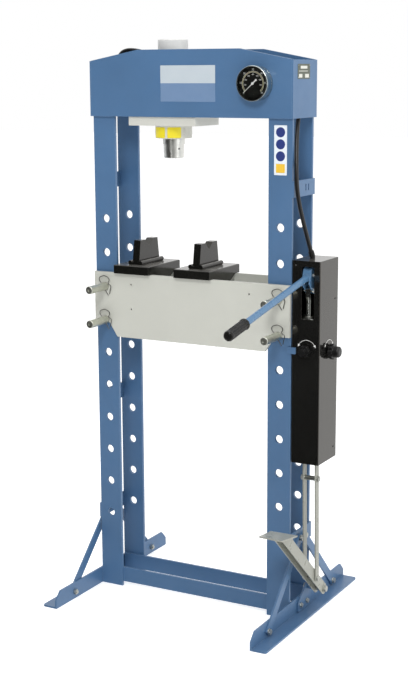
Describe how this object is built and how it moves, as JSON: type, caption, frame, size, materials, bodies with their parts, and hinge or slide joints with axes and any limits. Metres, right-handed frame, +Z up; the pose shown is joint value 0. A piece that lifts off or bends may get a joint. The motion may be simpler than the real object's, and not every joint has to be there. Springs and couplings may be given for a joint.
{
  "type": "hydraulic press",
  "caption": "Floor-standing workshop press: H frame with height-adjustable bed on pins, sliding hydraulic cylinder, pressure gauge, hand lever and foot pedal pump.",
  "frame": {"origin": "floor level, under the centre of the object's bounding box", "axes": "+Z up, +X to the right seen from the front, -Y towards the user (the lever and the treadle point to -Y)"},
  "size_m": [0.9, 0.9592, 1.832],
  "materials": {
    "blue_paint": "satin",
    "grey_paint": "satin",
    "black_gloss": "gloss",
    "black_paint": "satin",
    "zinc": "satin",
    "chrome": "polished",
    "bronze": "satin",
    "rubber": "matte",
    "black_plastic": "matte",
    "dial_black": "matte",
    "white_enamel": "gloss",
    "clear_glass": "polished",
    "pedal_grey": "satin"
  },
  "bodies": {
    "frame": {"bed_back_plate": "grey_paint", "bed_front_plate": "grey_paint", "bed_spacers": "zinc", "brace_bolts": "zinc", "braces": "blue_paint", "cross_members": "blue_paint", "foot_left": "blue_paint", "foot_right": "blue_paint", "gauge_case": "chrome", "gauge_dial": "dial_black", "gauge_glass": "clear_glass", "gauge_tube": "bronze", "head_back_plate": "blue_paint", "head_end_plates": "blue_paint", "head_front_plate": "blue_paint", "head_rails": "blue_paint", "hose_fitting": "zinc", "hydraulic_hose": "rubber", "pedal_bolts": "zinc", "pedal_bracket": "blue_paint", "post_back_left": "blue_paint", "post_back_right": "blue_paint", "post_front_left": "blue_paint", "post_front_right": "blue_paint", "pump_block": "zinc", "pump_box": "black_gloss", "pump_box_back": "black_gloss", "tie_plates": "blue_paint", "v_block_left": "black_paint", "v_block_right": "black_paint"},
    "carriage": {"carriage_plate": "grey_paint", "carriage_hangers": "zinc", "cylinder_barrel": "grey_paint", "cylinder_gland": "bronze", "cylinder_collar": "grey_paint", "return_spring": "zinc", "port_fitting": "zinc"},
    "ram": {"ram": "chrome", "ram_nose": "chrome", "thrust_pad": "zinc"},
    "needle": {"gauge_needle": "white_enamel"},
    "lever": {"hand_lever": "blue_paint", "lever_grip": "rubber", "lever_pins": "zinc"},
    "hand_piston": {"pump_plunger": "chrome"},
    "foot_piston": {"foot_plunger": "chrome"},
    "pedal": {"pedal": "pedal_grey"},
    "straps": {"pedal_straps": "pedal_grey", "strap_pins": "zinc"},
    "valve_front": {"front_knob": "black_plastic"},
    "valve_side": {"side_knob": "black_plastic"},
    "bed_pin_upper_left": {"bed_pin_upper_left": "zinc", "pin_clip_upper_left": "zinc"},
    "bed_pin_upper_right": {"bed_pin_upper_right": "zinc", "pin_clip_upper_right": "zinc"},
    "bed_pin_lower_left": {"bed_pin_lower_left": "zinc", "pin_clip_lower_left": "zinc"},
    "bed_pin_lower_right": {"bed_pin_lower_right": "zinc", "pin_clip_lower_right": "zinc"}
  },
  "joints": [
    {"name": "carriage_slide", "type": "slide", "parent": "frame", "child": "carriage", "axis": [1, 0, 0], "range_m": [-0.045, 0.25], "deforming": ["hydraulic_hose"]},
    {"name": "ram_slide", "type": "slide", "parent": "carriage", "child": "ram", "axis": [0, 0, -1], "range_m": [0, 0.15], "stiffness_N_per_m": 1200, "springref_m": -0.12, "deforming": ["return_spring"]},
    {"name": "lever_pivot", "type": "hinge", "parent": "frame", "child": "lever", "pos_m": [0.366, 0.09064, 1.08], "axis": [-1, 0, 0], "range_deg": [0, 26.5]},
    {"name": "hand_piston_slide", "type": "slide", "parent": "frame", "child": "hand_piston", "axis": [0, 0, 1], "range_m": [0, 0.0131]},
    {"name": "pedal_pivot", "type": "hinge", "parent": "frame", "child": "pedal", "pos_m": [0.366, 0.16864, 0.074], "axis": [1, 0, 0], "range_deg": [0, 25], "stiffness_Nm_per_rad": 25, "springref_deg": -22.92},
    {"name": "strap_pivot", "type": "hinge", "parent": "pedal", "child": "straps", "pos_m": [0.366, 0.09964, 0.133], "axis": [1, 0, 0], "range_deg": [-26.7, 0]},
    {"name": "foot_piston_slide", "type": "slide", "parent": "frame", "child": "foot_piston", "axis": [0, 0, -1], "range_m": [0, 0.0347]},
    {"name": "gauge_needle_spin", "type": "hinge", "parent": "frame", "child": "needle", "pos_m": [0.2, 0.00364, 1.696], "axis": [0, 1, 0], "range_deg": [0, 265], "stiffness_Nm_per_rad": 0.002, "springref_deg": -28.65},
    {"name": "front_knob_turn", "type": "hinge", "parent": "frame", "child": "valve_front", "pos_m": [0.368, 0.03164, 0.888], "axis": [0, 1, 0], "range_deg": [0, 90]},
    {"name": "side_knob_turn", "type": "hinge", "parent": "frame", "child": "valve_side", "pos_m": [0.42, 0.11664, 0.877], "axis": [1, 0, 0], "range_deg": [0, 270]},
    {"name": "bed_pin_upper_left_slide", "type": "slide", "parent": "frame", "child": "bed_pin_upper_left", "axis": [0, -1, 0], "range_m": [0, 0.3]},
    {"name": "bed_pin_upper_right_slide", "type": "slide", "parent": "frame", "child": "bed_pin_upper_right", "axis": [0, -1, 0], "range_m": [0, 0.3]},
    {"name": "bed_pin_lower_left_slide", "type": "slide", "parent": "frame", "child": "bed_pin_lower_left", "axis": [0, -1, 0], "range_m": [0, 0.3]},
    {"name": "bed_pin_lower_right_slide", "type": "slide", "parent": "frame", "child": "bed_pin_lower_right", "axis": [0, -1, 0], "range_m": [0, 0.3]}
  ],
  "couplings": [
    {"joint": "hand_piston_slide", "follows": "lever_pivot", "m_per_rad": 0.0277},
    {"joint": "strap_pivot", "follows": "pedal_pivot", "ratio": -1.06},
    {"joint": "foot_piston_slide", "follows": "pedal_pivot", "m_per_rad": 0.0791}
  ]
}
